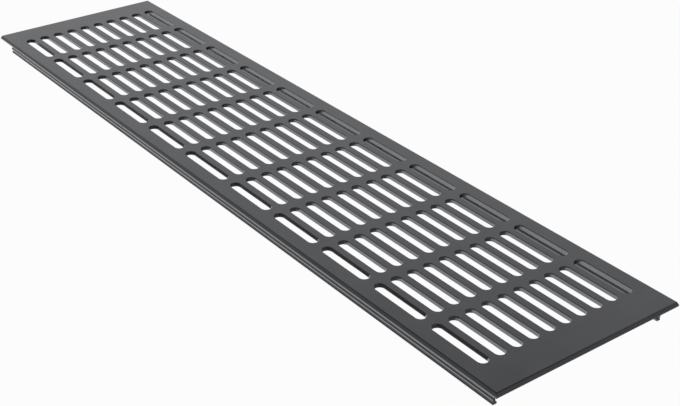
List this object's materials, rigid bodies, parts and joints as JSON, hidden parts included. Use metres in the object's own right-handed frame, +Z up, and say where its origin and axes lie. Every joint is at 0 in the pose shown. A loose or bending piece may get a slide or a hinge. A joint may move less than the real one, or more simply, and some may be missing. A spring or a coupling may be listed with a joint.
{
  "type": "ventilation grille",
  "caption": "Long flat extruded aluminium air grille with rows of round-ended slots and two barbed snap-in legs underneath.",
  "frame": {"origin": "under the middle of the plate, level with the feet of the two legs", "axes": "+X along the grille, +Y across it, +Z up out of the slotted face"},
  "size_m": [0.344, 0.08, 0.008],
  "materials": {
    "black_anodised": "satin"
  },
  "bodies": {
    "root": {"grille": "black_anodised"}
  },
  "joints": []
}
